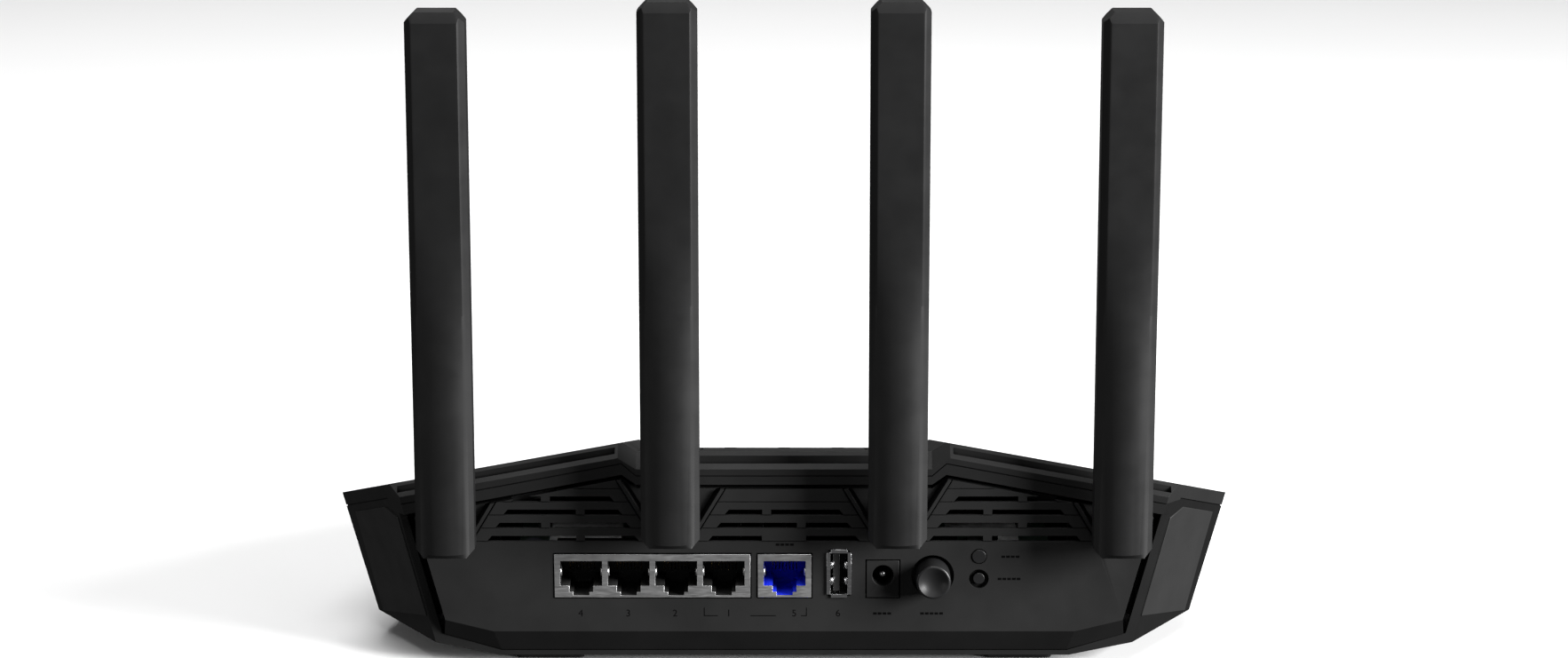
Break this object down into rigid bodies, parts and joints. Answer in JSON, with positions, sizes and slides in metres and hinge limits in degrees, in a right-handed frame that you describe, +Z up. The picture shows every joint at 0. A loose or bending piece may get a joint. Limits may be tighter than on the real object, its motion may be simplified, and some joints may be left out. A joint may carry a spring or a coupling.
{
  "type": "wireless router",
  "caption": "Low faceted desktop wireless router with folding blade antennas behind it, a port panel with network, USB and power sockets, push buttons and louvred vents.",
  "frame": {"origin": "middle of the footprint (antennas included) on the table, under the rubber feet", "axes": "+Z up, +X to the right seen from behind, looking at the port panel, +Y from the port panel to the front edge"},
  "size_m": [0.2676, 0.1472, 0.1997],
  "materials": {
    "body_plastic": "fine matte texture, near black",
    "panel_plastic": "fine matte texture, very dark grey",
    "antenna_plastic": "smooth satin, near black",
    "gloss_plastic": "brushed lines, black",
    "clear_plastic": "milky light guide",
    "jack_metal": "tinned sheet",
    "usb_metal": "nickel plated",
    "jack_black": "moulded connector body",
    "jack_blue": "moulded connector body, blue",
    "gold": "gold-plated contacts",
    "steel": "plated steel",
    "board": "solder-masked laminate",
    "chip": "moulded packages",
    "aluminium": "extruded heat sink",
    "pad": "soft silicone pad",
    "capacitor": "sleeved cans",
    "rubber": "moulded foot",
    "label": "blank label",
    "lead": "jacketed coaxial lead"
  },
  "bodies": {
    "case": {"bottom_case": "body_plastic", "top_cover": "body_plastic", "top_plate": "gloss_plastic", "light_guide": "clear_plastic", "wing_panel_right": "body_plastic", "wing_panel_left": "body_plastic", "rear_panel": "panel_plastic", "antenna_retainers": "steel", "lan_jack_shell": "jack_metal", "lan_jack_body": "jack_black", "wan_jack_shell": "jack_metal", "wan_jack_body": "jack_blue", "jack_contacts": "gold", "usb_shell": "usb_metal", "usb_tongue": "jack_black", "dc_jack": "jack_black", "dc_pin": "steel", "power_switch": "jack_black", "tact_switches": "jack_black", "button_board": "board", "main_board": "board", "chips": "chip", "thermal_pads": "pad", "heatsink": "aluminium", "shield_cans": "jack_metal", "capacitors": "capacitor", "magnetics": "chip", "leds": "clear_plastic", "case_screws": "steel", "board_screws": "steel", "rubber_feet": "rubber", "rating_label": "label", "lead_outer_left": "lead", "lead_outer_right": "lead", "lead_inner_left": "lead", "lead_inner_right": "lead"},
    "power_key": {"power_button": "antenna_plastic"},
    "wps_key": {"wps_button": "body_plastic"},
    "reset_key": {"reset_button": "body_plastic"},
    "neck_outer_left": {"neck_outer_left": "antenna_plastic"},
    "antenna_outer_left": {"blade_outer_outer_left": "antenna_plastic", "blade_inner_outer_left": "antenna_plastic", "radiator_outer_left": "board", "hinge_pin_outer_left": "steel"},
    "neck_outer_right": {"neck_outer_right": "antenna_plastic"},
    "antenna_outer_right": {"blade_outer_outer_right": "antenna_plastic", "blade_inner_outer_right": "antenna_plastic", "radiator_outer_right": "board", "hinge_pin_outer_right": "steel"},
    "neck_inner_left": {"neck_inner_left": "antenna_plastic"},
    "antenna_inner_left": {"blade_outer_inner_left": "antenna_plastic", "blade_inner_inner_left": "antenna_plastic", "radiator_inner_left": "board", "hinge_pin_inner_left": "steel"},
    "neck_inner_right": {"neck_inner_right": "antenna_plastic"},
    "antenna_inner_right": {"blade_outer_inner_right": "antenna_plastic", "blade_inner_inner_right": "antenna_plastic", "radiator_inner_right": "board", "hinge_pin_inner_right": "steel"}
  },
  "joints": [
    {"name": "swivel_outer_left", "type": "hinge", "parent": "case", "child": "neck_outer_left", "pos_m": [-0.0982, -0.05709, 0.0434], "axis": [0, 1, 0], "range_deg": [-90, 15]},
    {"name": "tilt_outer_left", "type": "hinge", "parent": "neck_outer_left", "child": "antenna_outer_left", "pos_m": [-0.0982, -0.06809, 0.0434], "axis": [1, 0, 0], "range_deg": [0, 90]},
    {"name": "swivel_outer_right", "type": "hinge", "parent": "case", "child": "neck_outer_right", "pos_m": [0.0982, -0.05709, 0.0434], "axis": [0, 1, 0], "range_deg": [-15, 90]},
    {"name": "tilt_outer_right", "type": "hinge", "parent": "neck_outer_right", "child": "antenna_outer_right", "pos_m": [0.0982, -0.06809, 0.0434], "axis": [1, 0, 0], "range_deg": [0, 90]},
    {"name": "swivel_inner_left", "type": "hinge", "parent": "case", "child": "neck_inner_left", "pos_m": [-0.03295, -0.05709, 0.0463], "axis": [0, 1, 0], "range_deg": [-15, 15]},
    {"name": "tilt_inner_left", "type": "hinge", "parent": "neck_inner_left", "child": "antenna_inner_left", "pos_m": [-0.03295, -0.06809, 0.0463], "axis": [1, 0, 0], "range_deg": [0, 90]},
    {"name": "swivel_inner_right", "type": "hinge", "parent": "case", "child": "neck_inner_right", "pos_m": [0.03295, -0.05709, 0.0463], "axis": [0, 1, 0], "range_deg": [-15, 15]},
    {"name": "tilt_inner_right", "type": "hinge", "parent": "neck_inner_right", "child": "antenna_inner_right", "pos_m": [0.03295, -0.06809, 0.0463], "axis": [1, 0, 0], "range_deg": [0, 90]},
    {"name": "power_press", "type": "slide", "parent": "case", "child": "power_key", "axis": [0, 1, 0], "range_m": [0, 0.0016], "stiffness_N_per_m": 900},
    {"name": "wps_press", "type": "slide", "parent": "case", "child": "wps_key", "axis": [0, 1, 0], "range_m": [0, 0.0006], "stiffness_N_per_m": 1500},
    {"name": "reset_press", "type": "slide", "parent": "case", "child": "reset_key", "axis": [0, 1, 0], "range_m": [0, 0.0006], "stiffness_N_per_m": 1500}
  ]
}
